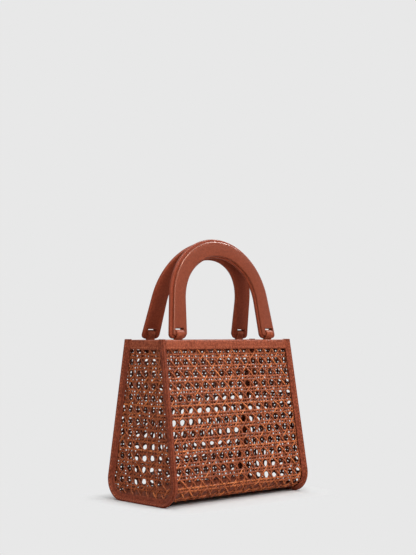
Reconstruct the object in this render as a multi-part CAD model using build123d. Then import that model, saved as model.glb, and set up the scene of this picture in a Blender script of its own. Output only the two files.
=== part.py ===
from build123d import *
import math
import os

# Small basket box bag: woven cane panels bound in leather, with two arched handles on leather loops.
# Frame: +Z up, +X along the length, -Y the front, origin on the floor under the middle of the bag.
# A cane sheet runs as one piece down the front, under the base and up the back. Two end panels close it.
# A leather binding straddles each end seam as an outward fin, and leather bands fold over the top edges.
# Each handle is a wide leather arch with a narrower one on its face and a cross bar at each foot. A leather
# loop, sewn to the inside of the rim, holds that bar, so the handle swings about it. At rest the two handles
# lean on each other, a little ahead of the middle.
# All sizes are in millimetres.

# Body, measured outside the cane
body_height = 185.0
base_length = 208.2
top_length = 200.2
base_depth = 119.2
top_depth = 60.2
corner_radius = 20.0
cane_thickness = 2.4

# General clearances
seat_gap = 0.2
overrun = 5.0

# Cane weave: a grid of gaps, and a flat raised strand between each two rows of them
weave_pitch = 18.1
gap_width = 9.5
strand_width = 5.0
strand_relief = 0.9
weave_margin = 9.6

# Leather binding of the end seams
fin_width = 5.0
fin_thickness = 3.2
flange_width = 3.0
flange_thickness = 1.2
foot_trim = 0.8
binding_proud = 0.8

# Leather bands over the top edges
rim_height = 10.5
rim_leather = 1.2
rim_cap = 4.2
rim_bevel = 1.2
rim_slot_gap = 0.6

# Base liner
liner_thickness = 1.6
liner_edge_rise = 1.0

# Handles
handle_radius = 68.2
handle_width = 22.8
handle_face_width = 18.6
inner_half_thickness = 4.2
outer_half_thickness = 2.8
handle_centre_height = 34.9
handle_outer_splay = 8.0
handle_inner_splay = 4.5
handle_end_drop = 5.2
handle_end_round = 5.5
handle_edge_bevel = 1.0
handle_rest_gap = 0.4
handle_axis_inset = 2.9
handle_meet_offset = 5.2

# Handle loops
loop_width = 11.0
loop_thickness = 1.6
loop_bore_gap = 0.3
loop_side_gap = 1.0
loop_folds = 12
loop_lift = 2.3
loop_tab_height = 12.0
slot_height = 6.2

# Derived places
root_two = math.sqrt(2.0)
fin_reach = (fin_width + fin_thickness / 2) / root_two
base_lift = fin_reach - foot_trim
wall_run = body_height - base_lift
wall_lean = math.atan2((base_depth - top_depth) / 2, wall_run)
end_lean = math.atan2((base_length - top_length) / 2, wall_run)
wall_top = body_height - rim_cap - rim_slot_gap
rim_width = cane_thickness + 2 * (seat_gap + rim_leather)
handle_bar_radius = outer_half_thickness
loop_bore = handle_bar_radius + loop_bore_gap
loop_outside = loop_bore + loop_thickness
rim_half_depth = top_depth / 2 - cane_thickness / 2
rim_half_length = top_length / 2 - cane_thickness / 2
axis_height = body_height + loop_outside + loop_lift
axis_depth = rim_half_depth - handle_axis_inset
outer_splay = math.radians(handle_outer_splay)
inner_splay = math.radians(handle_inner_splay)
handle_rise = handle_centre_height + handle_radius + handle_width / 2
slot_width = loop_width + 2 * loop_side_gap
slot_top = handle_bar_radius + slot_height


def half_depth(height, inset=0.0):
    """Half the depth at a height, to a surface that lies inset inside the outer face of the cane."""
    share = (height - base_lift) / wall_run
    outer = (base_depth + (top_depth - base_depth) * share) / 2
    return outer - inset / math.cos(wall_lean)


def half_length(height, inset=0.0):
    """Half the length at a height, to a surface that lies inset inside the outer face of the end panels."""
    share = (height - base_lift) / wall_run
    outer = (base_length + (top_length - base_length) * share) / 2
    return outer - inset / math.cos(end_lean)


def leg_edge(radius, splay, height):
    """How far from the middle a leg's edge is, at a height over the hinge axis: it runs on from an arch."""
    knee_height = handle_centre_height + radius * math.sin(splay)
    return radius * math.cos(splay) + (knee_height - height) * math.tan(splay)


def end_view(inset, top):
    """The body's outline seen from the end, drawn in from the outer face by inset and cut off at top."""
    bottom = base_lift + inset
    outline = Polyline(
        (-half_depth(bottom, inset), bottom),
        (half_depth(bottom, inset), bottom),
        (half_depth(top, inset), top),
        (-half_depth(top, inset), top),
        close=True,
    )
    face = make_face(outline)
    return fillet(face.vertices().sort_by(Axis.Y)[:2], corner_radius - inset)


def along_length(face):
    """A face drawn in Y and Z, run along the whole length."""
    return extrude(Plane.YZ * face, amount=base_length, both=True)


def between_ends(inset):
    """The space between the two end panels' outer faces, drawn in by inset, over the whole height."""
    low = -overrun
    high = body_height + overrun
    outline = Polyline(
        (-half_length(low, inset), low),
        (half_length(low, inset), low),
        (half_length(high, inset), high),
        (-half_length(high, inset), high),
        close=True,
    )
    return extrude(Plane.XZ * make_face(outline), amount=base_depth, both=True)


def between_walls(inset):
    """The space between the front and back outer faces, drawn in by inset, over the whole height."""
    low = -overrun
    high = body_height + overrun
    outline = Polyline(
        (-half_depth(low, inset), low),
        (half_depth(low, inset), low),
        (half_depth(high, inset), high),
        (-half_depth(high, inset), high),
        close=True,
    )
    return along_length(make_face(outline))


def below(top):
    """The space above the floor and below a height, all round the bag."""
    place = (Align.CENTER, Align.CENTER, Align.MIN)
    return Box(2 * base_length, 2 * base_depth, top, align=place)


def front_plane(height):
    """Plane on the outer face of the front, at a height, with its Y axis up the slope."""
    return Plane(
        origin=(0, -half_depth(height), height),
        x_dir=(1, 0, 0),
        z_dir=(0, -math.cos(wall_lean), math.sin(wall_lean)),
    )


def end_plane(height):
    """Plane on the outer face of the +X end, at a height, with its Y axis up the slope."""
    return Plane(
        origin=(half_length(height), 0, height),
        x_dir=(0, 1, 0),
        z_dir=(math.cos(end_lean), 0, math.sin(end_lean)),
    )


def even_places(span):
    """Places of as many weave cells as fit in a span, spread evenly about its middle."""
    count = int(span // weave_pitch)
    return [(index - (count - 1) / 2) * weave_pitch for index in range(count)]


def strand_places(rows):
    """Places of the strands: one between each two rows of gaps."""
    return [row + weave_pitch / 2 for row in rows[:-1]]


def gaps(plane, cells):
    """The gaps at a list of places on a plane, right through the cane below it."""
    gap = Rectangle(gap_width, gap_width)
    return extrude(plane * (Sketch() + [Pos(x, y) * gap for x, y in cells]), amount=-overrun)


def wall_weave():
    """The front's upright strands, which stand out of its face, and its gaps."""
    low = base_lift + corner_radius * (1 + math.sin(wall_lean))
    high = body_height - rim_height - rim_slot_gap
    slope = (high - low) / math.cos(wall_lean)
    columns = even_places(2 * (half_length(high) - weave_margin))
    plane = front_plane((low + high) / 2)
    strand = Rectangle(strand_width, slope)
    strands = Sketch() + [Pos(x, 0) * strand for x in strand_places(columns)]
    cells = [(x, y) for x in columns for y in even_places(slope)]
    return extrude(plane * strands, amount=strand_relief), gaps(plane, cells)


def end_weave():
    """An end panel's level strands and its gaps: each row has as many as the depth there takes."""
    low = base_lift + weave_margin
    high = body_height - rim_height - rim_slot_gap
    middle = (low + high) / 2
    plane = end_plane(middle)
    rows = even_places((high - low) / math.cos(end_lean))
    strands = Sketch()
    for row in strand_places(rows):
        narrow = half_depth(middle + row + strand_width, weave_margin)
        strands += Pos(0, row) * Rectangle(2 * narrow, strand_width)
    cells = []
    for row in rows:
        narrow = half_depth(middle + row + weave_pitch / 2, weave_margin)
        cells += [(x, row) for x in even_places(2 * narrow)]
    return extrude(plane * strands, amount=strand_relief), gaps(plane, cells)


def cane_wrap():
    """Front, base and back: one woven sheet."""
    hollow = end_view(cane_thickness, wall_top + overrun)
    sheet = along_length(end_view(0, wall_top) - hollow)
    sheet = sheet & between_ends(cane_thickness + seat_gap)
    strands, holes = wall_weave()
    sheet = sheet + strands + turned_to_back(strands)
    return sheet - holes - turned_to_back(holes)


def end_panel():
    """Woven panel of the +X end."""
    panel = along_length(end_view(0, wall_top)) & between_ends(0)
    panel -= between_ends(cane_thickness)
    panel = panel.solids().sort_by(Axis.X)[-1]
    strands, holes = end_weave()
    return panel + strands - holes


def binding_profile():
    """Section of the binding: a fin along the diagonal of the corner, and a flange on each face, skived thin."""
    diagonal = fin_width / root_two
    side = fin_thickness / root_two
    skin = seat_gap + flange_thickness
    outline = Polyline(
        (seat_gap, flange_width),
        (skin, side - skin),
        (diagonal + side / 2, side / 2 - diagonal),
        (diagonal - side / 2, -side / 2 - diagonal),
        (skin - side, -skin),
        (-flange_width, -seat_gap),
        (seat_gap, -seat_gap),
        close=True,
    )
    return make_face(outline)


def seam_binding():
    """Leather binding of the +X end seam: down the front edge, along the base and up the back edge."""
    plane = end_plane(base_lift)
    run = (wall_run + overrun) / math.cos(end_lean)
    top = half_depth(body_height + overrun)
    path = plane * FilletPolyline(
        (-top, run),
        (-half_depth(base_lift), 0),
        (half_depth(base_lift), 0),
        (top, run),
        radius=corner_radius,
    )
    start = path @ 0
    tangent = path % 0
    section = Plane(origin=start, x_dir=tangent.cross(plane.z_dir), z_dir=tangent)
    strip = sweep(section * binding_profile(), path=path)
    return strip & below(body_height + binding_proud)


def rim_profile():
    """Section of a rim band with its top middle at the origin: leather folded over the cane's top edge."""
    band = Pos(0, -rim_height / 2) * Rectangle(rim_width, rim_height)
    band = chamfer(band.vertices().sort_by(Axis.Y)[-2:], rim_bevel)
    mouth_height = rim_height - rim_cap
    mouth = Rectangle(cane_thickness + 2 * seat_gap, mouth_height)
    return band - Pos(0, mouth_height / 2 - rim_height) * mouth


def rim_plane():
    """Plane of the front rim band's section: its origin at the band's top middle, its X axis out of the bag."""
    return Plane(
        origin=(0, -rim_half_depth, body_height),
        x_dir=(0, -math.cos(wall_lean), math.sin(wall_lean)),
        z_dir=(-1, 0, 0),
    )


def wall_rim():
    """Band along the front's top edge."""
    band = extrude(rim_plane() * rim_profile(), amount=base_length, both=True)
    return band & between_ends(flange_width + seat_gap)


def end_rim():
    """Band along the +X end panel's top edge, between the bands of the front and back."""
    plane = Plane(
        origin=(rim_half_length, 0, body_height),
        x_dir=(math.cos(end_lean), 0, math.sin(end_lean)),
        z_dir=(0, -1, 0),
    )
    band = extrude(plane * rim_profile(), amount=base_depth, both=True)
    return band & between_walls((cane_thickness + rim_width) / 2 + seat_gap)


def base_liner():
    """Leather sheet on the base, its long edges curled up a little where the bends begin."""
    outer = cane_thickness + seat_gap
    inner = outer + liner_thickness
    sheet = along_length(end_view(outer, wall_top) - end_view(inner, wall_top + overrun))
    sheet = sheet & between_ends(cane_thickness + 2 * seat_gap)
    return sheet & below(base_lift + inner + liner_edge_rise)


def handle_outline(width):
    """An arch of a width with its splayed legs, with the hinge axis along X at the origin."""
    inset = (handle_width - width) / 2
    drop = handle_end_drop - inset

    def flipped(point):
        return (-point[0], point[1])

    def arch(radius, splay):
        foot = (leg_edge(radius, splay, -drop), -drop)
        knee = (radius * math.cos(splay), handle_centre_height + radius * math.sin(splay))
        crown = (0, handle_centre_height + radius)
        return [
            Line(foot, knee),
            ThreePointArc(knee, crown, flipped(knee)),
            Line(flipped(knee), flipped(foot)),
        ]

    outer = arch(handle_radius + width / 2, outer_splay)
    inner = arch(handle_radius - width / 2, inner_splay)
    feet = [Line(outer[0] @ 0, inner[0] @ 0), Line(outer[-1] @ 1, inner[-1] @ 1)]
    face = make_face(outer + inner + feet)
    return fillet(face.vertices().sort_by(Axis.Y)[:4], handle_end_round - inset)


def loop_place():
    """How far each loop is from the middle: halfway across the leg, at the hinge axis."""
    outer = leg_edge(handle_radius + handle_width / 2, outer_splay, 0)
    inner = leg_edge(handle_radius - handle_width / 2, inner_splay, 0)
    return (outer + inner) / 2


def loop_slot():
    """What is cut away at a foot for its loop: all but a round bar on the hinge axis."""
    below = handle_end_drop + overrun
    window = Pos(0, (slot_top - below) / 2) * Rectangle(slot_width, slot_top + below)
    block = extrude(window, amount=handle_width, both=True)
    bar = Rot(0, 90, 0) * Cylinder(handle_bar_radius, slot_width + overrun)
    return block - bar


def handle_half(outward):
    """One leather half of a handle: the wide inner arch, or the narrower one on its face with bevelled edges."""
    if outward:
        half = extrude(handle_outline(handle_face_width), amount=outer_half_thickness)
        half = chamfer(half.faces().sort_by(Axis.Z)[-1].edges(), handle_edge_bevel)
    else:
        half = extrude(handle_outline(handle_width), amount=-inner_half_thickness)
    for side in (-1, 1):
        half -= Pos(side * loop_place(), 0, 0) * loop_slot()
    return half


def handle_lean(reach):
    """How far a handle leans to bring its inner face to a plane that is reach away from its hinge axis."""
    span = math.hypot(handle_rise, inner_half_thickness)
    return math.asin((reach - handle_rest_gap / 2) / span) - math.atan2(inner_half_thickness, handle_rise)


def front_handle_half(outward, lean):
    """A half of a handle at the front, leaning by an angle towards the back."""
    plane = Plane(
        origin=(0, -axis_depth, axis_height),
        x_dir=(1, 0, 0),
        z_dir=(0, -math.cos(lean), math.sin(lean)),
    )
    return plane.location * handle_half(outward)


def front_loop(side):
    """Leather loop round the bar at one foot of the front handle, in short folds, with a tab inside the rim."""
    def eye(reach):
        turn = 180 / loop_folds
        return RegularPolygon(reach, loop_folds, major_radius=False, rotation=turn)

    def strap(section):
        return extrude(section, amount=loop_width / 2, both=True)

    centre = Pos(0, -axis_depth, axis_height)
    ring = centre * strap(Plane.YZ * eye(loop_outside))
    tab_thickness = 2 * loop_thickness
    top = axis_height - body_height
    place = Pos(-rim_width / 2 - seat_gap - tab_thickness / 2, top / 2 - loop_tab_height / 2)
    tab = strap(rim_plane() * (place * Rectangle(tab_thickness, top + loop_tab_height)))
    ring += tab
    ring -= centre * strap(Plane.YZ * eye(loop_bore))
    return Pos(side * loop_place(), 0, 0) * ring


def turned_to_back(piece):
    """The same piece on the back of the bag."""
    return mirror(piece, about=Plane.XZ)


def turned_to_left(piece):
    """The same piece at the -X end of the bag."""
    return mirror(piece, about=Plane.YZ)


def all_pieces():
    """Every piece of the bag under its own name."""
    right_panel = end_panel()
    right_binding = seam_binding()
    right_rim = end_rim()
    front_rim = wall_rim()
    pieces = {
        "cane_wrap": cane_wrap(),
        "right_end_panel": right_panel,
        "left_end_panel": turned_to_left(right_panel),
        "right_seam_binding": right_binding,
        "left_seam_binding": turned_to_left(right_binding),
        "front_rim_band": front_rim,
        "back_rim_band": turned_to_back(front_rim),
        "right_rim_band": right_rim,
        "left_rim_band": turned_to_left(right_rim),
        "base_liner": base_liner(),
    }
    for place, side in (("left", -1), ("right", 1)):
        loop = front_loop(side)
        pieces[f"front_{place}_loop"] = loop
        pieces[f"back_{place}_loop"] = turned_to_back(loop)
    front_lean = handle_lean(axis_depth - handle_meet_offset)
    back_lean = handle_lean(axis_depth + handle_meet_offset)
    for layer, outward in (("outer", True), ("inner", False)):
        pieces[f"front_handle_{layer}_half"] = front_handle_half(outward, front_lean)
        pieces[f"back_handle_{layer}_half"] = turned_to_back(front_handle_half(outward, back_lean))
    return pieces


os.makedirs("parts", exist_ok=True)
for name, piece in all_pieces().items():
    export_step(piece, os.path.join("parts", f"{name}.step"))
print("hinge axis y", axis_depth, "z", axis_height)
print("loop place", loop_place(), "base lift", base_lift)
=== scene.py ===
import math
import random

import bmesh
import bpy
from mathutils import Matrix, Vector


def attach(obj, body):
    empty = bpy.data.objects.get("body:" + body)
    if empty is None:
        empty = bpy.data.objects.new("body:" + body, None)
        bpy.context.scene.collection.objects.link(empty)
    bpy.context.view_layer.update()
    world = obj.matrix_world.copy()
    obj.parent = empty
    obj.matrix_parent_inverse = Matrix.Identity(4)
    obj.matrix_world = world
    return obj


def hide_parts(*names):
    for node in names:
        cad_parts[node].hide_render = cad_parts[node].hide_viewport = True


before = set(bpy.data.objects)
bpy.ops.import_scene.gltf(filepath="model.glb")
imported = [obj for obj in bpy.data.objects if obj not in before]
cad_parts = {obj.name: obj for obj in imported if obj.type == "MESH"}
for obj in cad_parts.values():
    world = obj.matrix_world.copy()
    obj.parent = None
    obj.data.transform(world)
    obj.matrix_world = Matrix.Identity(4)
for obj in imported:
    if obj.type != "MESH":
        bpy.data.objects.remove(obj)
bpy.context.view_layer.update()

scene = bpy.context.scene
mm = 0.001
cutReach = 1e-7        # points this close to a cut lie on it
mergeReach = 1e-6      # points this close together are one
sharpAngle = math.radians(38)
random.seed(11)

# the bag's own measures, the same as its solids have
bag = {
    "height": 185 * mm,
    "baseLength": 208.2 * mm,
    "topLength": 200.2 * mm,
    "baseDepth": 119.2 * mm,
    "topDepth": 60.2 * mm,
    "bend": 20 * mm,       # radius of the two long bottom corners
    "cane": 2.4 * mm,      # thickness of the woven sheet
    "lift": 3.867 * mm,    # the base stands this far off the floor, on the binding
    "caneTop": 180.2 * mm,
}
wallRun = bag["height"] - bag["lift"]
wallLean = math.atan2((bag["baseDepth"] - bag["topDepth"]) / 2, wallRun)
endLean = math.atan2((bag["baseLength"] - bag["topLength"]) / 2, wallRun)
bendTurn = math.pi / 2 + wallLean


def taper(base, top, z):
    share = (z - bag["lift"]) / wallRun
    return (base + (top - base) * share) / 2


# half the depth and half the length at a height, to a face that lies an inset further in
def halfDepth(z, inset=0.0):
    return taper(bag["baseDepth"], bag["topDepth"], z) - inset / math.cos(wallLean)


def halfLength(z, inset=0.0):
    return taper(bag["baseLength"], bag["topLength"], z) - inset / math.cos(endLean)


# half the level run of the base, between its two bends
def halfFlat(inset=0.0):
    return halfDepth(bag["lift"] + inset, inset) - (bag["bend"] - inset) * math.tan(bendTurn / 2)


# plane of an end: across the bag, up the slope, outwards
def endMatrix(side):
    up = Vector((-side * math.sin(endLean), 0, math.cos(endLean)))
    out = Vector((side * math.cos(endLean), 0, math.sin(endLean)))
    across = Vector((0, 1, 0))
    made = Matrix((across, up, out)).transposed().to_4x4()
    made.translation = (side * halfLength(bag["lift"]), 0, bag["lift"])
    return made


def tint(red, green, blue):
    def linear(value):
        value /= 255
        return value / 12.92 if value <= 0.04045 else ((value + 0.055) / 1.055) ** 2.4
    return (linear(red), linear(green), linear(blue), 1)


class Wire:
    def __init__(self, tree, socket):
        self.tree = tree
        self.socket = socket

    def join(self, operation, *terms):
        node = self.tree.nodes.new("ShaderNodeMath")
        node.operation = operation
        for slot, term in zip(node.inputs, terms):
            if isinstance(term, Wire):
                self.tree.links.new(term.socket, slot)
            else:
                slot.default_value = term
        return Wire(self.tree, node.outputs[0])

    def __add__(self, other):
        return self.join("ADD", self, other)

    def __radd__(self, other):
        return self.join("ADD", other, self)

    def __sub__(self, other):
        return self.join("SUBTRACT", self, other)

    def __rsub__(self, other):
        return self.join("SUBTRACT", other, self)

    def __mul__(self, other):
        return self.join("MULTIPLY", self, other)

    def __rmul__(self, other):
        return self.join("MULTIPLY", other, self)

    def __gt__(self, other):
        return self.join("GREATER_THAN", self, other)


class Finish:
    def __init__(self, owner):
        owner.use_nodes = True
        self.owner = owner
        self.tree = owner.node_tree
        self.tree.nodes.clear()

    def node(self, kind, settings=None, inputs=None, output=0):
        made = self.tree.nodes.new(kind)
        for key, value in (settings or {}).items():
            if key == "stops":
                ramp = made.color_ramp
                for place, _ in value[1:-1]:
                    ramp.elements.new(place)
                for element, (place, colour) in zip(ramp.elements, value):
                    element.position = place
                    element.color = colour
            else:
                setattr(made, key, value)
        for key, value in (inputs or {}).items():
            if isinstance(value, Wire):
                self.tree.links.new(value.socket, made.inputs[key])
            else:
                made.inputs[key].default_value = value
        return Wire(self.tree, made.outputs[output]) if made.outputs else None

    def blend(self, factor, low, high, how="MIX"):
        settings = {"data_type": "RGBA", "blend_type": how}
        return self.node("ShaderNodeMix", settings, {0: factor, 6: low, 7: high}, 2)

    def between(self, value, low, high):
        return self.node("ShaderNodeMapRange", {"interpolation_type": "SMOOTHSTEP"},
                         {"Value": value, "From Min": low, "From Max": high})

    def noise(self, where, scale, detail, rough):
        return self.node("ShaderNodeTexNoise", None,
                         {"Vector": where, "Scale": scale, "Detail": detail, "Roughness": rough}, "Fac")


# full-grain leather: pale tops, darker creases, broad clouding, a waxed gloss
hide = {
    "cloudScale": 34, "cloudShare": 0.25,           # broad clouding
    "mottleScale": 400,                             # fine speckle
    "toneFrom": 0.36, "toneTo": 0.64,               # from the dark to the light colour
    "warpScale": 700, "warp": 0.0006,               # keeps the creases from running straight
    "cellScale": 1050, "creaseWidth": 0.22, "creaseTint": 0.45, "pebbleShare": 0.75,
    "bump": 0.3, "grainDepth": 0.18 * mm,
    "mottleRough": 0.14, "creaseRough": 0.08,
    "gleam": tint(255, 205, 175), "coatShare": 0.2, "coatRough": 0.16,
}


def leather(name, light, dark, crease, gloss=0.46, grain=1.0, shine=0.08):
    finish = Finish(bpy.data.materials.new(name))
    where = finish.node("ShaderNodeTexCoord", output="Object")
    clouds = finish.noise(where, hide["cloudScale"], detail=4, rough=0.6)
    mottle = finish.noise(where, hide["mottleScale"], detail=3, rough=0.6)
    warp = finish.node("ShaderNodeTexNoise", None,
                       {"Vector": where, "Scale": hide["warpScale"], "Detail": 1.0}, "Color")
    bent = finish.node("ShaderNodeMix", {"data_type": "VECTOR"}, {0: hide["warp"], 4: where, 5: warp}, 1)
    cells = finish.node("ShaderNodeTexVoronoi", {"feature": "DISTANCE_TO_EDGE"},
                        {"Vector": bent, "Scale": hide["cellScale"]}, "Distance")
    pebble = finish.between(cells, 0.0, hide["creaseWidth"])
    patchy = clouds * hide["cloudShare"] + mottle * (1 - hide["cloudShare"])
    tone = finish.between(patchy, hide["toneFrom"], hide["toneTo"])
    colour = finish.blend(tone, dark, light)
    colour = finish.blend((1 - pebble) * hide["creaseTint"], colour, crease)
    height = pebble * hide["pebbleShare"] + mottle * (1 - hide["pebbleShare"])
    bump = finish.node("ShaderNodeBump", None, {
        "Strength": hide["bump"] * grain, "Distance": hide["grainDepth"], "Height": height}, "Normal")
    rough = gloss + (mottle - 0.5) * hide["mottleRough"] + (1 - pebble) * hide["creaseRough"]
    shader = finish.node("ShaderNodeBsdfPrincipled", None, {
        "Base Color": colour, "Roughness": rough, "Normal": bump, "Specular IOR Level": shine,
        "Specular Tint": hide["gleam"], "Coat Weight": shine * hide["coatShare"],
        "Coat Roughness": hide["coatRough"]})
    finish.node("ShaderNodeOutputMaterial", None, {"Surface": shader})
    return finish.owner


# split cane: each strand has its own tone, patches and fibres along it and a rounded face, its edges darkened
# with painted shade
split = {
    "fibreScale": (55, 7, 31), "patchScale": (85, 0.4, 57),      # along, across and from strand to strand
    # the edge share and edge colour are painted shade: how far a strand's edges darken, and towards which
    # colour
    "fibreShade": 0.4, "patchShade": 0.8, "edgePaintedShade": 0.5, "edge": tint(120, 78, 60),
    "fibreHeight": 0.16, "bump": 0.8, "depth": 0.4 * mm,
    "rough": 0.5, "fibreRough": 0.3, "shine": 0.06,
}
strandMarks = ("tone", "along", "across")      # what each point of a strand carries


def splitCane(name, stops):
    finish = Finish(bpy.data.materials.new(name))
    tone, along, across = (
        finish.node("ShaderNodeAttribute", {"attribute_name": mark}, output="Fac") for mark in strandMarks)

    def streaks(scales, detail, rough):
        spot = finish.node("ShaderNodeCombineXYZ", None, {
            "X": along * scales[0], "Y": across * scales[1], "Z": tone * scales[2]})
        return finish.noise(spot, 1.0, detail, rough)

    fibres = streaks(split["fibreScale"], detail=4, rough=0.65)
    patches = streaks(split["patchScale"], detail=2, rough=0.5)
    crown = 1 - across * across * 4      # 1 along the middle of a strand, 0 on its edges
    shade = tone + (patches - 0.5) * split["patchShade"] + (fibres - 0.5) * split["fibreShade"]
    colour = finish.node("ShaderNodeValToRGB", {"stops": stops}, {"Fac": shade})
    # painted shade: a strand's edges are darkened where its rounded face turns from the light
    edge = finish.blend(1.0, colour, split["edge"], "MULTIPLY")
    colour = finish.blend((1 - crown) * split["edgePaintedShade"], colour, edge)
    height = crown + fibres * split["fibreHeight"]
    bump = finish.node("ShaderNodeBump", None, {
        "Strength": split["bump"], "Distance": split["depth"], "Height": height}, "Normal")
    shader = finish.node("ShaderNodeBsdfPrincipled", None, {
        "Base Color": colour, "Roughness": split["rough"] + (fibres - 0.5) * split["fibreRough"],
        "Normal": bump, "Specular IOR Level": split["shine"]})
    finish.node("ShaderNodeOutputMaterial", None, {"Surface": shader})
    return finish.owner


trimLeather = leather("trimLeather", tint(170, 89, 62), tint(118, 54, 36), tint(86, 35, 23))
seamLeather = leather("seamLeather", tint(152, 75, 52), tint(106, 48, 32), tint(78, 31, 21))
strapLeather = leather("strapLeather", tint(164, 84, 58), tint(140, 67, 46), tint(92, 40, 27))
handleLeather = leather("handleLeather", tint(136, 65, 44), tint(124, 57, 37), tint(90, 38, 25),
                        gloss=0.3, grain=0.5, shine=0.2)
innerLeather = leather("innerLeather", tint(146, 68, 46), tint(131, 58, 38), tint(94, 39, 25),
                       gloss=0.45, grain=0.7, shine=0.07)
linerLeather = leather("linerLeather", tint(172, 90, 60), tint(146, 71, 47), tint(104, 47, 31),
                       gloss=0.62, shine=0.05)
threadFinish = leather("threadFinish", tint(190, 108, 75), tint(162, 86, 60), tint(118, 58, 40),
                       gloss=0.6, grain=0.3, shine=0.1)
caneFinish = splitCane("caneFinish", [
    (0.0, tint(72, 28, 17)), (0.3, tint(140, 71, 45)), (0.62, tint(184, 101, 62)), (1.0, tint(238, 144, 82))])
# the same cane, darker, for the strands' inner faces: painted shade for the shaded inside of the bag
caneInsidePaintedShade = splitCane("caneInsidePaintedShade", [
    (0.0, tint(48, 18, 11)), (0.3, tint(98, 48, 31)), (0.62, tint(132, 70, 44)), (1.0, tint(176, 104, 62))])
print("finishes made")


def makePiece(name, bm, finish, body, nodes):
    bm.normal_update()
    for face in bm.faces:
        face.smooth = True
    mesh = bpy.data.meshes.new(name)
    bm.to_mesh(mesh)
    bm.free()
    mesh.set_sharp_from_angle(angle=sharpAngle)
    mesh.materials.append(finish)
    piece = bpy.data.objects.new(name, mesh)
    scene.collection.objects.link(piece)
    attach(piece, body)
    if nodes:
        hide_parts(*nodes)
    return piece


def giveBody(piece, name, thickness):
    body = piece.modifiers.new(name, "SOLIDIFY")
    body.thickness = thickness
    body.offset = 0
    return body


def onlyVerts(items):
    return [item for item in items if isinstance(item, bmesh.types.BMVert)]


def onlyEdges(items):
    return [item for item in items if isinstance(item, bmesh.types.BMEdge)]


def cutAway(bm, place, normal, close=False):
    made = bmesh.ops.bisect_plane(bm, geom=bm.verts[:] + bm.edges[:] + bm.faces[:], plane_co=place,
                                  plane_no=normal, clear_outer=True, dist=cutReach)
    if close:
        bmesh.ops.holes_fill(bm, edges=onlyEdges(made["geom_cut"]), sides=0)


# cut at the slope of both ends, an inset in from their outer faces
def cutAtEnds(bm, inset):
    for side in (-1, 1):
        cutAway(bm, (side * halfLength(bag["lift"], inset), 0, bag["lift"]),
                (side * math.cos(endLean), 0, math.sin(endLean)))


# a closed flat shape from its corners, some of them rounded
def flatShape(bm, corners, rounds, segments=3):
    verts = [bm.verts.new(corner) for corner in corners]
    bm.faces.new(verts)
    for index, radius in rounds.items():
        bmesh.ops.bevel(bm, geom=[verts[index]], offset=radius, segments=segments, profile=0.5,
                        affect="VERTICES", material=-1)


def thicken(bm, by, keep=False):
    made = bmesh.ops.extrude_face_region(bm, geom=bm.faces[:], use_keep_orig=keep)["geom"]
    bmesh.ops.translate(bm, verts=onlyVerts(made), vec=by)


# carry a ring of edges along, or round an axis, and give the ring at its new end
def pull(bm, edges, by):
    made = bmesh.ops.extrude_edge_only(bm, edges=edges)["geom"]
    bmesh.ops.translate(bm, verts=onlyVerts(made), vec=by)
    return [edge for edge in onlyEdges(made) if len(edge.link_faces) == 1]


def swing(bm, edges, centre, axis, angle, steps):
    made = bmesh.ops.spin(bm, geom=edges, cent=centre, axis=axis, angle=angle, steps=steps)
    return onlyEdges(made["geom_last"])


# cane weave: pairs upright and level, one diagonal each way a cell, all passing over and under
weave = {
    "pitch": 13.55 * mm,
    "pairHalf": 1.9 * mm,      # half the distance between the two strands of a pair
    "width": 2.25 * mm,
    "widthVaries": (0.93, 1.06),
    "slim": 0.86,              # the diagonals' width as a share of the others'
    "thickness": 0.7 * mm,
    "pairRise": 0.42 * mm,     # how far a pair swings over and under the other pairs
    "diagonalRise": 0.72 * mm,
    "waver": 0.16 * mm,        # how far a strand strays from its line
    "waverVaries": (0.5, 1.0),
    "waverRate": 61,           # radians of its sway for each metre
    "phaseVaries": 6.28,       # radians
    "grainVaries": 3,          # metres along the cane where a strand's grain may start
    "steps": {"upright": 4, "level": 6, "diagonal": 6},      # faces along a strand in each cell
    "tones": {"upright": (0.24, 0.5), "level": (0.24, 0.56), "pale": 0.7,
              "diagonal": (0.36, 0.44, 0.5, 0.56, 0.62, 0.7)},
    "shortest": 0.25,          # shorter diagonals, in cells, are left out
}


def layStrand(bm, start, end, steps, tone, rise, slim=1.0):
    start, end = Vector(start), Vector(end)
    run = end - start
    side = Vector((-run.y, run.x)).normalized()
    width = weave["width"] * slim * random.uniform(*weave["widthVaries"])
    phase = random.uniform(0, weave["phaseVaries"])
    bow = random.uniform(*weave["waverVaries"]) * weave["waver"]
    shift = random.uniform(0, weave["grainVaries"])
    toneLayer, alongLayer, acrossLayer = (bm.verts.layers.float[mark] for mark in strandMarks)
    made = bmesh.ops.create_grid(bm, x_segments=steps, y_segments=1, size=0.5)["verts"]
    for vert in made:
        share, across = vert.co.x + 0.5, vert.co.y
        line = start + run * share
        stray = bow * math.sin(phase + run.length * share * weave["waverRate"])
        spot = line + side * (across * width + stray)
        vert[toneLayer] = tone
        vert[alongLayer] = run.length * share + shift
        vert[acrossLayer] = across
        vert.co = (spot.x, spot.y, rise(line.x, line.y))


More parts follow.
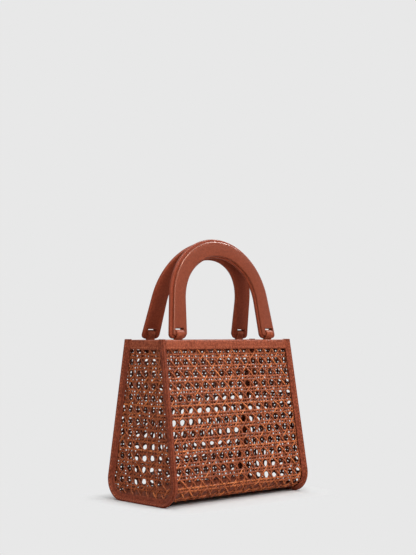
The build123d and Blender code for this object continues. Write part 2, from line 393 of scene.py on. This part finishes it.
# the whole flat weave over a span given in half cells, tones by strand
def weaveFlat(bm, columns, rows, paleRows):
    pitch, half = weave["pitch"], weave["pairHalf"]
    steps, tones = weave["steps"], weave["tones"]
    for mark in strandMarks:
        bm.verts.layers.float.new(mark)
    left, right, low, high = (halves * pitch / 2 for halves in (*columns, *rows))
    lift, leap = weave["pairRise"], weave["diagonalRise"]

    def upright(sign):
        return lambda u, v: sign * lift * math.cos(math.pi * v / pitch)

    def level(row):
        def rise(u, v):
            column = round(u / pitch)
            off = u - column * pitch
            sign = 1 if (column + row) % 2 == 0 else -1
            if abs(off) < half:
                return sign * lift * math.sin(math.pi / 2 * off / half)
            share = (abs(off) - half) / (pitch / 2 - half)
            return sign * lift * math.copysign(math.cos(share * math.pi / 2), off)
        return rise

    def diagonal(sign):
        return lambda u, v: sign * leap * math.cos(2 * math.pi * u / pitch)

    for column in range(math.ceil(left / pitch), math.floor(right / pitch) + 1):
        for sign in (-1, 1):
            u = column * pitch + sign * half
            turn = sign if column % 2 == 0 else -sign
            tone = random.uniform(*tones["upright"])
            layStrand(bm, (u, low), (u, high), round((high - low) / pitch * steps["upright"]), tone,
                      upright(turn))
    for row in range(math.ceil(low / pitch), math.floor(high / pitch) + 1):
        for sign in (-1, 1):
            v = row * pitch + sign * half
            pale = row in paleRows and sign == paleRows[row]
            tone = tones["pale"] if pale else random.uniform(*tones["level"])
            layStrand(bm, (left, v), (right, v), round((right - left) / pitch * steps["level"]), tone,
                      level(row))
    for sign in (-1, 1):
        first = math.floor(min(left - sign * low, left - sign * high) / pitch) - 1
        last = math.ceil(max(right - sign * low, right - sign * high) / pitch) + 1
        for line in range(first, last + 1):
            offset = (line + 0.5) * pitch      # u - sign * v keeps this value along the strand
            ends = sorted((low, high), key=lambda v: offset + sign * v)
            start = max(left, offset + sign * ends[0])
            stop = min(right, offset + sign * ends[1])
            if stop - start < pitch * weave["shortest"]:
                continue
            tone = random.choice(tones["diagonal"])
            layStrand(bm, (start, sign * (start - offset)), (stop, sign * (stop - offset)),
                      round((stop - start) / pitch * steps["diagonal"]), tone, diagonal(sign), weave["slim"])


# front, base and back: the flat weave bent round the two long bottom corners
wrap = {
    "columns": (-17, 17), "rows": (-35, 35),
    "paleRows": {-11: 1, -7: -1, -4: -1, 7: 1, 10: -1},      # which strand of a pair is pale
    "frontShift": Vector((6.0, -6.7)) * mm,                  # the sheet's lie on each wall
    "backShift": Vector((2.2, -3.1)) * mm,
    "endGap": 0.2 * mm,
}
wrapInset = bag["cane"] / 2
wrapRadius = bag["bend"] - wrapInset
wrapFloor = bag["lift"] + wrapInset
wrapFlat = halfFlat(wrapInset)


def bendRound(u, v, rise):
    side = 1 if v > 0 else -1
    reach = abs(v) - wrapFlat
    turn = min(max(reach / wrapRadius, 0), bendTurn)
    climb = max(reach - wrapRadius * bendTurn, 0)
    out = wrapRadius + rise
    y = min(abs(v), wrapFlat) + math.sin(turn) * out + math.cos(turn) * climb
    z = wrapFloor + wrapRadius - math.cos(turn) * out + math.sin(turn) * climb
    return Vector((u, side * y, z))


bm = bmesh.new()
weaveFlat(bm, wrap["columns"], wrap["rows"], wrap["paleRows"])
for vert in bm.verts:
    share = min(max(vert.co.y / wrapFlat / 2 + 0.5, 0), 1)
    shift = wrap["frontShift"].lerp(wrap["backShift"], share)
    vert.co = bendRound(vert.co.x + shift.x, vert.co.y + shift.y, vert.co.z)
bmesh.ops.reverse_faces(bm, faces=bm.faces)      # bent this way, the sheet's face points inwards
cutAtEnds(bm, bag["cane"] + wrap["endGap"])
cutAway(bm, (0, 0, bag["caneTop"]), (0, 0, 1))
caneWrap = makePiece("caneWrap", bm, caneFinish, "bag", ["cane_wrap"])
print("cane wrap woven", len(caneWrap.data.polygons))

# the two ends: flat weave cut to the bag's end view
gusset = {
    "columns": (-10, 10), "rows": (-1, 28), "paleRows": {4: 1, 8: -1}, "inset": 0.4 * mm, "steps": 8,
    "shift": {"left": (5.5 * mm, 0), "right": (-0.2 * mm, 4.5 * mm)},
}


def cutToEndView(bm, inset):
    radius = bag["bend"] - inset
    floor = bag["lift"] + inset
    for side in (-1, 1):
        for step in range(1, gusset["steps"] + 1):
            turn = bendTurn * step / gusset["steps"]
            normal = Vector((0, side * math.sin(turn), -math.cos(turn)))
            cutAway(bm, Vector((0, side * halfFlat(inset), floor + radius)) + normal * radius, normal)
    cutAway(bm, (0, 0, floor), (0, 0, -1))
    cutAway(bm, (0, 0, bag["caneTop"]), (0, 0, 1))


canePieces = [caneWrap]
for side, word in ((-1, "left"), (1, "right")):
    bm = bmesh.new()
    weaveFlat(bm, gusset["columns"], gusset["rows"], gusset["paleRows"])
    bmesh.ops.translate(bm, verts=bm.verts, vec=(*gusset["shift"][word], -bag["cane"] / 2))
    bmesh.ops.transform(bm, matrix=endMatrix(side), verts=bm.verts)
    if side < 0:
        bmesh.ops.reverse_faces(bm, faces=bm.faces)
    cutToEndView(bm, gusset["inset"])
    piece = makePiece(f"{word}CaneEnd", bm, caneFinish, "bag", [f"{word}_end_panel"])
    canePieces.append(piece)
    print(word, "cane end woven", len(piece.data.polygons))

# each strand's inward faces take the darker copy of the cane: painted shade
for piece in canePieces:
    piece.data.materials.append(caneInsidePaintedShade)
    giveBody(piece, "strandBody", weave["thickness"]).material_offset = 1

# seam binding: two layers of leather sewn face to face into a fin, with a flange on each wall
binding = {
    "seat": 0.2 * mm, "leather": 1.2 * mm,
    "flange": 3.4 * mm, "endFlange": 5.2 * mm,       # on the long wall and on the end
    "finWidth": 5 * mm, "finThick": 3.2 * mm,
    "groove": 0.42 * mm, "grooveDepth": 0.8 * mm,    # between the fin's two layers
    "round": 0.6 * mm, "grooveRound": 0.2 * mm,
    "over": 6 * mm,                                  # made this much too long, then cut
    "proud": 0.8 * mm, "steps": 14,
}


def bindingSection():
    spread = binding["finWidth"] / math.sqrt(2)
    half = binding["finThick"] / math.sqrt(8)
    skin = binding["seat"] + binding["leather"]
    seat, flange, endFlange = binding["seat"], binding["flange"], binding["endFlange"]
    nick = binding["groove"] / math.sqrt(2)
    deep = spread - binding["grooveDepth"] / math.sqrt(2)
    return [
        (seat, -flange), (skin, -flange), (skin, skin - 2 * half), (spread + half, spread - half),
        (spread + nick, spread - nick), (deep, deep), (spread - nick, spread + nick),
        (spread - half, spread + half), (skin - 2 * half, skin), (-endFlange, skin),
        (-endFlange, seat), (seat, seat)]


def seamBinding(side):
    bm = bmesh.new()
    top = bag["height"] + binding["over"]
    out = Vector((-math.cos(wallLean), math.sin(wallLean), 0))
    down = Vector((-math.sin(wallLean), -math.cos(wallLean), 0))
    start = Vector((-halfDepth(top), (top - bag["lift"]) / math.cos(endLean), 0))
    corners = [start + out * across + Vector((0, 0, away)) for across, away in bindingSection()]
    soft, nick = binding["round"], binding["grooveRound"]
    flatShape(bm, corners, {1: soft, 3: soft, 4: nick, 6: nick, 7: soft, 9: soft})
    bmesh.ops.delete(bm, geom=bm.faces[:], context="FACES_ONLY")
    flat = halfFlat()
    corner = Vector((-flat, bag["bend"], 0))
    straight = (corner + out * bag["bend"] - start).length
    axis = (0, 0, 1)
    ring = pull(bm, bm.edges[:], down * straight)
    ring = swing(bm, ring, corner, axis, bendTurn, binding["steps"])
    ring = pull(bm, ring, Vector((2 * flat, 0, 0)))
    ring = swing(bm, ring, Vector((flat, bag["bend"], 0)), axis, bendTurn, binding["steps"])
    pull(bm, ring, Vector((-math.sin(wallLean), math.cos(wallLean), 0)) * straight)
    bmesh.ops.remove_doubles(bm, verts=bm.verts, dist=mergeReach)
    bmesh.ops.transform(bm, matrix=endMatrix(side), verts=bm.verts)
    cutAway(bm, (0, 0, bag["height"] + binding["proud"]), (0, 0, 1), True)
    cutAway(bm, (0, 0, 0), (0, 0, -1), True)
    bmesh.ops.recalc_face_normals(bm, faces=bm.faces)
    return bm


# stitches: short rounded threads in rows
stitch = {
    "long": 2.7 * mm, "step": 3.9 * mm, "wide": 0.9 * mm, "tall": 0.6 * mm, "sides": 6, "rings": 4,
    "along": 3.3 * mm, "edge": 2.2 * mm,      # how far out on a fin, and how far from a rim's edge
}


def sew(bm, matrix, place, along, out):
    turn = Matrix((along, out.cross(along), out)).transposed().to_4x4()
    turn.translation = place
    size = Matrix.Diagonal((stitch["long"] / 2, stitch["wide"] / 2, stitch["tall"] / 2, 1))
    bmesh.ops.create_uvsphere(bm, u_segments=stitch["sides"], v_segments=stitch["rings"], radius=1,
                              matrix=matrix @ turn @ size)


# one face of a fin, from the rim down round the bottom and up to the rim again
def sewFin(bm, side, face):
    bend = bag["bend"]
    flat = halfFlat()
    straight = wallRun / math.cos(endLean) / math.cos(wallLean) - bend * math.tan(bendTurn / 2)
    count = int((flat + bend * bendTurn + straight - stitch["edge"]) / stitch["step"])
    for number in range(-count, count + 1):
        reach = abs(number * stitch["step"])
        sign = 1 if number >= 0 else -1
        turn = min(max((reach - flat) / bend, 0), bendTurn)
        climb = max(reach - flat - bend * bendTurn, 0)
        outward = Vector((sign * math.sin(turn), -math.cos(turn), 0))
        along = Vector((math.cos(turn), sign * math.sin(turn), 0))
        centre = Vector((sign * min(reach, flat), bend, 0))
        normal = (outward * -face + Vector((0, 0, face))).normalized()
        fin = (outward + Vector((0, 0, 1))).normalized() * stitch["along"]
        place = centre + outward * bend + along * sign * climb + fin + normal * binding["finThick"] / 2
        sew(bm, endMatrix(side), place, along, normal)


for side, word in ((-1, "left"), (1, "right")):
    makePiece(f"{word}SeamBinding", seamBinding(side), seamLeather, "bag",
              [f"{word}_seam_binding"])
    for face, way in ((-1, "Wall"), (1, "End")):
        bm = bmesh.new()
        sewFin(bm, side, face)
        makePiece(f"{word}Seam{way}Thread", bm, threadFinish, "bag", [])
print("seam bindings made")

# rim bands: leather folded over the top edge of the cane
rim = {
    "height": 11.2 * mm, "width": 5.2 * mm, "mouth": 2.8 * mm, "cap": 4.2 * mm,
    "topRound": 1.7 * mm, "edgeRound": 0.5 * mm, "roundSteps": 4, "endGap": 3.5 * mm,
    "longStock": 0.6 * bag["topLength"], "shortStock": 0.8 * bag["topDepth"],      # half lengths, then cut
}
rimHalfDepth = bag["topDepth"] / 2 - bag["cane"] / 2
rimHalfLength = bag["topLength"] / 2 - bag["cane"] / 2


def rimBand(length):
    bm = bmesh.new()
    half, mouth, deep, cap = rim["width"] / 2, rim["mouth"] / 2, -rim["height"], -rim["cap"]
    corners = [(-half, deep), (-half, 0), (half, 0), (half, deep),
               (mouth, deep), (mouth, cap), (-mouth, cap), (-mouth, deep)]
    rounds = {0: rim["edgeRound"], 1: rim["topRound"], 2: rim["topRound"], 3: rim["edgeRound"]}
    flatShape(bm, [(-length, across, up) for across, up in corners], rounds, rim["roundSteps"])
    thicken(bm, (2 * length, 0, 0))
    return bm


def sewRim(name, matrix, length):
    bm = bmesh.new()
    count = int((length - rim["endGap"] - stitch["edge"]) / stitch["step"])
    for number in range(-count, count + 1):
        for face in (-1, 1):
            place = Vector((number * stitch["step"], face * rim["width"] / 2, stitch["edge"] - rim["height"]))
            sew(bm, matrix, place, Vector((1, 0, 0)), Vector((0, face, 0)))
    makePiece(name, bm, threadFinish, "bag", [])


# along is the way the band runs, reach its half length to the walls at its ends, lean their slope
def addRim(word, place, stock, along, reach, lean):
    bm = rimBand(stock)
    bmesh.ops.transform(bm, matrix=place, verts=bm.verts)
    sewRim(f"{word}RimThread", place, reach)
    for end in (-1, 1):
        stop = along * end * (reach - rim["endGap"] / math.cos(lean)) + Vector((0, 0, bag["height"]))
        cutAway(bm, stop, along * end * math.cos(lean) + Vector((0, 0, math.sin(lean))), True)
    bmesh.ops.recalc_face_normals(bm, faces=bm.faces)
    makePiece(f"{word}RimBand", bm, trimLeather, "bag", [f"{word}_rim_band"])


for side, word in ((-1, "front"), (1, "back")):
    place = Matrix.Translation((0, side * rimHalfDepth, bag["height"]))
    place = place @ Matrix.Rotation(side * wallLean, 4, "X")
    addRim(word, place, rim["longStock"], Vector((1, 0, 0)), halfLength(bag["height"]), endLean)
for side, word in ((-1, "left"), (1, "right")):
    place = Matrix.Translation((side * rimHalfLength, 0, bag["height"]))
    place = place @ Matrix.Rotation(-side * endLean, 4, "Y") @ Matrix.Rotation(math.pi / 2, 4, "Z")
    addRim(word, place, rim["shortStock"], Vector((0, 1, 0)), halfDepth(bag["height"]), wallLean)
print("rim bands made")

# base liner: a leather sheet on the flat of the base, its long edges curled up a little
liner = {
    "thickness": 1.6 * mm, "edgeRise": 1.0 * mm, "gap": 0.2 * mm, "endGap": 0.4 * mm,
    "columns": 24, "rows": 72, "stock": (1.1 * bag["baseLength"], 200 * mm),      # before it is cut
}
linerInset = bag["cane"] / 2 + liner["gap"] + liner["thickness"] / 2
bm = bmesh.new()
bmesh.ops.create_grid(bm, x_segments=liner["columns"], y_segments=liner["rows"], size=0.5)
for vert in bm.verts:
    vert.co = bendRound(vert.co.x * liner["stock"][0], vert.co.y * liner["stock"][1], -linerInset)
cutAtEnds(bm, bag["cane"] + liner["endGap"])
cutAway(bm, (0, 0, wrapFloor + linerInset + liner["thickness"] / 2 + liner["edgeRise"]), (0, 0, 1))
baseLiner = makePiece("baseLiner", bm, linerLeather, "bag", ["base_liner"])
giveBody(baseLiner, "linerBody", liner["thickness"])
print("base liner made")

# handles: a wide arch with a narrower one on its face, a cross bar in the fork of each foot
handle = {
    "radius": 68.2 * mm, "centre": 34.9 * mm, "drop": 5.2 * mm, "steps": 56,
    "outerSplay": math.radians(8), "innerSplay": math.radians(4.5),
    "footRound": 5.5 * mm, "footSteps": 6,
    "wide": 22.8 * mm, "wideThick": 4.2 * mm, "wideRound": 1.5 * mm,
    "face": 17.8 * mm, "faceThick": 2.8 * mm, "faceRound": 1.6 * mm, "faceShift": 0.9 * mm,
    "roundSteps": 4, "seamRound": 0.5 * mm, "seamSteps": 2,
    "slotWidth": 13 * mm, "slotTop": 6.6 * mm, "slotRound": 0.4 * mm,
    "bar": 2.8 * mm, "barSides": 32, "barSink": 0.5 * mm,
    "place": 72.505 * mm, "axisDepth": 26 * mm, "axis": 192 * mm,
    "lean": {"front": math.radians(8.257), "back": math.radians(13.597)},
    "near": 0.001 * mm,      # points this close to a level lie on it
    "edgeAngle": 1,          # radians: edges sharper than this are rounded
}


# one edge of an arch: round the crown, then down both splayed legs to the level end of the feet
def archEdge(bm, radius, splay, drop):
    centre = Vector((0, handle["centre"], 0))
    knee = bm.verts.new(centre + Vector((math.cos(splay), math.sin(splay), 0)) * radius)
    made = bmesh.ops.spin(bm, geom=[knee], cent=centre, axis=(0, 0, 1), angle=math.pi - 2 * splay,
                          steps=handle["steps"])
    farKnee = onlyVerts(made["geom_last"])[0]
    for tip, side in ((knee, 1), (farKnee, -1)):
        foot = bmesh.ops.extrude_vert_indiv(bm, verts=[tip])["verts"][0]
        foot.co += Vector((side * math.tan(splay), -1, 0)) * (tip.co.y + drop)


def handleOutline(width, shift):
    bm = bmesh.new()
    inset = (handle["wide"] - width) / 2
    radius = handle["radius"] - shift
    archEdge(bm, radius + width / 2, handle["outerSplay"], handle["drop"] - inset)
    archEdge(bm, radius - width / 2, handle["innerSplay"], handle["drop"] - inset)
    bmesh.ops.bridge_loops(bm, edges=bm.edges[:])
    feet = [vert for vert in bm.verts if vert.co.y < 0]
    bmesh.ops.bevel(bm, geom=feet, offset=handle["footRound"] - inset, segments=handle["footSteps"],
                    profile=0.5, affect="VERTICES", material=-1)

    def scoreFeet(place, normal):
        low = [face for face in bm.faces if face.calc_center_median().y < handle["centre"]]
        geom = list({item for face in low for item in (*face.verts, *face.edges, face)})
        bmesh.ops.bisect_plane(bm, geom=geom, plane_co=place, plane_no=normal, dist=cutReach)

    for side in (-1, 1):       # the fork of each foot
        for cut in (-1, 1):
            scoreFeet((side * handle["place"] + cut * handle["slotWidth"] / 2, 0, 0), (1, 0, 0))
    scoreFeet((0, handle["slotTop"], 0), (0, 1, 0))
    fork = []
    for face in bm.faces:
        middle = face.calc_center_median()
        if middle.y < handle["slotTop"] and abs(abs(middle.x) - handle["place"]) < handle["slotWidth"] / 2:
            fork.append(face)
    bmesh.ops.delete(bm, geom=fork, context="FACES")
    return bm


def inFork(vert):
    across = abs(abs(vert.co.x) - handle["place"])
    near = handle["near"]
    return across < handle["slotWidth"] / 2 + near and vert.co.y < handle["slotTop"] + near


# the edges round one side of a layer: the outline first, then those of the forks
def roundRim(bm, level, radius, segments):
    for fork, offset in ((False, radius), (True, handle["slotRound"])):
        bm.normal_update()
        edges = [edge for edge in bm.edges
                 if len(edge.link_faces) == 2 and edge.calc_face_angle() > handle["edgeAngle"]
                 and all(abs(vert.co.z - level) < handle["near"] for vert in edge.verts)
                 and all(inFork(vert) for vert in edge.verts) == fork]
        bmesh.ops.bevel(bm, geom=edges, offset=offset, segments=segments, profile=0.5, affect="EDGES",
                        material=-1, clamp_overlap=True)


# half of the round bar across a fork, the half on this layer's side of the seam
def addBar(bm, side):
    bar = bmesh.new()
    bmesh.ops.create_cone(bar, cap_ends=True, segments=handle["barSides"], radius1=handle["bar"],
                          radius2=handle["bar"], depth=handle["slotWidth"] + 2 * handle["barSink"])
    bmesh.ops.rotate(bar, verts=bar.verts, cent=(0, 0, 0), matrix=Matrix.Rotation(math.pi / 2, 3, "Y"))
    cutAway(bar, (0, 0, 0), (0, 0, -1), True)
    bmesh.ops.translate(bar, verts=bar.verts, vec=(side * handle["place"], 0, 0))
    spare = bpy.data.meshes.new("spareBar")
    bar.to_mesh(spare)
    bar.free()
    bm.from_mesh(spare)
    bpy.data.meshes.remove(spare)


def handleLayer(outward):
    name = "face" if outward else "wide"
    thick, soft, steps = handle[name + "Thick"], handle[name + "Round"], handle["roundSteps"]
    bm = handleOutline(handle[name], handle["faceShift"] if outward else 0)
    thicken(bm, (0, 0, thick), True)
    bmesh.ops.recalc_face_normals(bm, faces=bm.faces)
    roundRim(bm, thick, soft, steps)
    if outward:
        roundRim(bm, 0, handle["seamRound"], handle["seamSteps"])
    else:
        roundRim(bm, 0, soft, steps)
    for side in (-1, 1):
        addBar(bm, side)
    if not outward:
        bmesh.ops.scale(bm, verts=bm.verts, vec=(1, 1, -1))
    return bm


def handleMatrix(side, lean):
    up = Vector((0, -side * math.sin(lean), math.cos(lean)))
    out = Vector((0, side * math.cos(lean), math.sin(lean)))
    made = Matrix((Vector((1, 0, 0)), up, out)).transposed().to_4x4()
    made.translation = (0, side * handle["axisDepth"], handle["axis"])
    return made


for side, word in ((-1, "front"), (1, "back")):
    for outward, layer, finish in ((True, "Outer", handleLeather), (False, "Inner", innerLeather)):
        bm = handleLayer(outward)
        bmesh.ops.transform(bm, matrix=handleMatrix(side, handle["lean"][word]), verts=bm.verts)
        bmesh.ops.recalc_face_normals(bm, faces=bm.faces)
        makePiece(f"{word}Handle{layer}Half", bm, finish, f"{word}_handle",
                  [f"{word}_handle_{layer.lower()}_half"])
print("handles made")

# loops: a strap round the bar, its two ends sewn together and down the inside of the rim
loop = {
    "width": 11 * mm, "leather": 1.5 * mm, "bore": 3.15 * mm, "round": 0.4 * mm, "roundSteps": 2,
    "tab": 12 * mm, "tabIn": 1.5 * mm, "wrapped": math.radians(132), "steps": 16,
}


def handleLoop(x, side):
    bm = bmesh.new()
    half, inner, outer = loop["width"] / 2, loop["bore"], loop["bore"] + loop["leather"]
    fall = handle["axis"] - bag["height"]
    flatShape(bm, [(-half, 0, inner), (half, 0, inner), (half, 0, outer), (-half, 0, outer)],
              {index: loop["round"] for index in range(4)}, loop["roundSteps"])
    bmesh.ops.delete(bm, geom=bm.faces[:], context="FACES_ONLY")
    ring = bm.edges[:]
    for sign in (-1, 1):       # over the bar and down each side of it
        last = swing(bm, ring, (0, 0, 0), (1, 0, 0), sign * loop["wrapped"], loop["steps"])
        tips = {vert for edge in last for vert in edge.verts}
        centre = sum((vert.co for vert in tips), Vector()) / len(tips)
        meet = Vector((0, loop["tabIn"] - sign * loop["leather"] / 2, -fall))
        last = pull(bm, last, meet - centre)
        last = pull(bm, last, Vector((0, -math.sin(wallLean), -math.cos(wallLean))) * loop["tab"])
        bmesh.ops.holes_fill(bm, edges=last, sides=0)
    bmesh.ops.remove_doubles(bm, verts=bm.verts, dist=mergeReach)
    if side > 0:
        bmesh.ops.scale(bm, verts=bm.verts, vec=(1, -1, 1))
    bmesh.ops.translate(bm, verts=bm.verts, vec=(x, side * handle["axisDepth"], handle["axis"]))
    bmesh.ops.recalc_face_normals(bm, faces=bm.faces)
    return bm


for side, word in ((-1, "front"), (1, "back")):
    for end, hand in ((-1, "left"), (1, "right")):
        makePiece(f"{word}{hand.title()}Loop", handleLoop(end * handle["place"], side), strapLeather, "bag",
                  [f"{word}_{hand}_loop"])
print("loops made")

# lamps are given by place, size in metres and watts
studio = {
    "fill": (0.29, 0.29, 0.29, 1), "pale": tint(232, 232, 232), "aim": Vector((0, 0, 0.12)),
    "lamps": {
        "key": ((0.15, -2.0, 1.6), 1.5, 40),
        "left": ((-1.5, -1.25, 1.2), 1.2, 14.5),
        "back": ((0.6, 1.9, 1.3), 1.6, 13),
        "top": ((-0.1, -0.2, 1.9), 0.7, 9),
    },
    "gleams": {      # these three only gleam on edges
        "sheen": ((-0.2, -0.6, 1.85), 0.8, 90),
        "glint": ((-1.35, -0.95, 1.15), 0.5, 40),
        "crest": ((1.3, -0.1, 1.6), 0.8, 75),
    },
}


def softBox(name, place, size, watts):
    lamp = bpy.data.lights.new(name, "AREA")
    lamp.shape = "SQUARE"
    lamp.size = size
    lamp.energy = watts
    holder = bpy.data.objects.new(name, lamp)
    holder.location = place
    holder.rotation_euler = (studio["aim"] - Vector(place)).to_track_quat("-Z", "Y").to_euler()
    scene.collection.objects.link(holder)
    return holder


for name, values in studio["lamps"].items():
    softBox(name, *values)
for name, values in studio["gleams"].items():
    softBox(name, *values).visible_diffuse = False

air = Finish(bpy.data.worlds.new("studioAir"))
scene.world = air.owner
seen, through, mirrored = (
    air.node("ShaderNodeLightPath", output=f"Is {kind} Ray") for kind in ("Camera", "Transmission", "Glossy"))
shade = air.blend(seen + through + mirrored > 0.5, studio["fill"], studio["pale"])
sky = air.node("ShaderNodeBackground", None, {"Color": shade, "Strength": 1.0})
air.node("ShaderNodeOutputWorld", None, {"Surface": sky})

# the floor is lit where the bag's shadow falls, and fades to plain pale away from it
ground = {
    "half": 30, "lit": tint(226, 228, 228), "rough": 0.9,
    "shade": (100 * mm, 55 * mm, 0), "fadeFrom": 6 * mm, "fadeTo": 45 * mm,      # half sides, then outwards
}
pale = Finish(bpy.data.materials.new("paleFloor"))
spot = pale.node("ShaderNodeTexCoord", output="Object")
spot = pale.node("ShaderNodeVectorMath", {"operation": "ABSOLUTE"}, {0: spot})
spot = pale.node("ShaderNodeVectorMath", {"operation": "SUBTRACT"}, {0: spot, 1: ground["shade"]})
spot = pale.node("ShaderNodeVectorMath", {"operation": "MAXIMUM"}, {0: spot, 1: (0, 0, 0)})
far = pale.node("ShaderNodeVectorMath", {"operation": "LENGTH"}, {0: spot}, "Value")
away = pale.between(far, ground["fadeFrom"], ground["fadeTo"])
camera = pale.node("ShaderNodeLightPath", output="Is Camera Ray")
lit = pale.node("ShaderNodeBsdfPrincipled", None, {
    "Base Color": ground["lit"], "Roughness": ground["rough"], "Specular IOR Level": 0.0})
glow = pale.node("ShaderNodeEmission", None, {"Color": studio["pale"], "Strength": 1.0})
surface = pale.node("ShaderNodeMixShader", None, {0: away * camera, 1: lit, 2: glow})
pale.node("ShaderNodeOutputMaterial", None, {"Surface": surface})
bm = bmesh.new()
bmesh.ops.create_grid(bm, x_segments=1, y_segments=1, size=ground["half"])
floorMesh = bpy.data.meshes.new("floor")
bm.to_mesh(floorMesh)
bm.free()
floor = bpy.data.objects.new("floor", floorMesh)
floorMesh.materials.append(pale.owner)
scene.collection.objects.link(floor)

# the camera stands where the photograph was taken from, turned and tilted in degrees
view = {
    "lens": 71.73, "sensor": 36, "near": 10 * mm,
    "place": (-0.9017, -0.9791, 0.1914), "tilt": 2.94, "turn": -42.54,
}
eye = bpy.data.cameras.new("eye")
eye.lens = view["lens"]
eye.sensor_width = view["sensor"]
eye.clip_start = view["near"]
stand = bpy.data.objects.new("eye", eye)
stand.location = view["place"]
stand.rotation_euler = (math.radians(90 + view["tilt"]), 0, math.radians(view["turn"]))
scene.collection.objects.link(stand)
scene.camera = stand
scene.view_settings.view_transform = "Standard"
print("studio set")
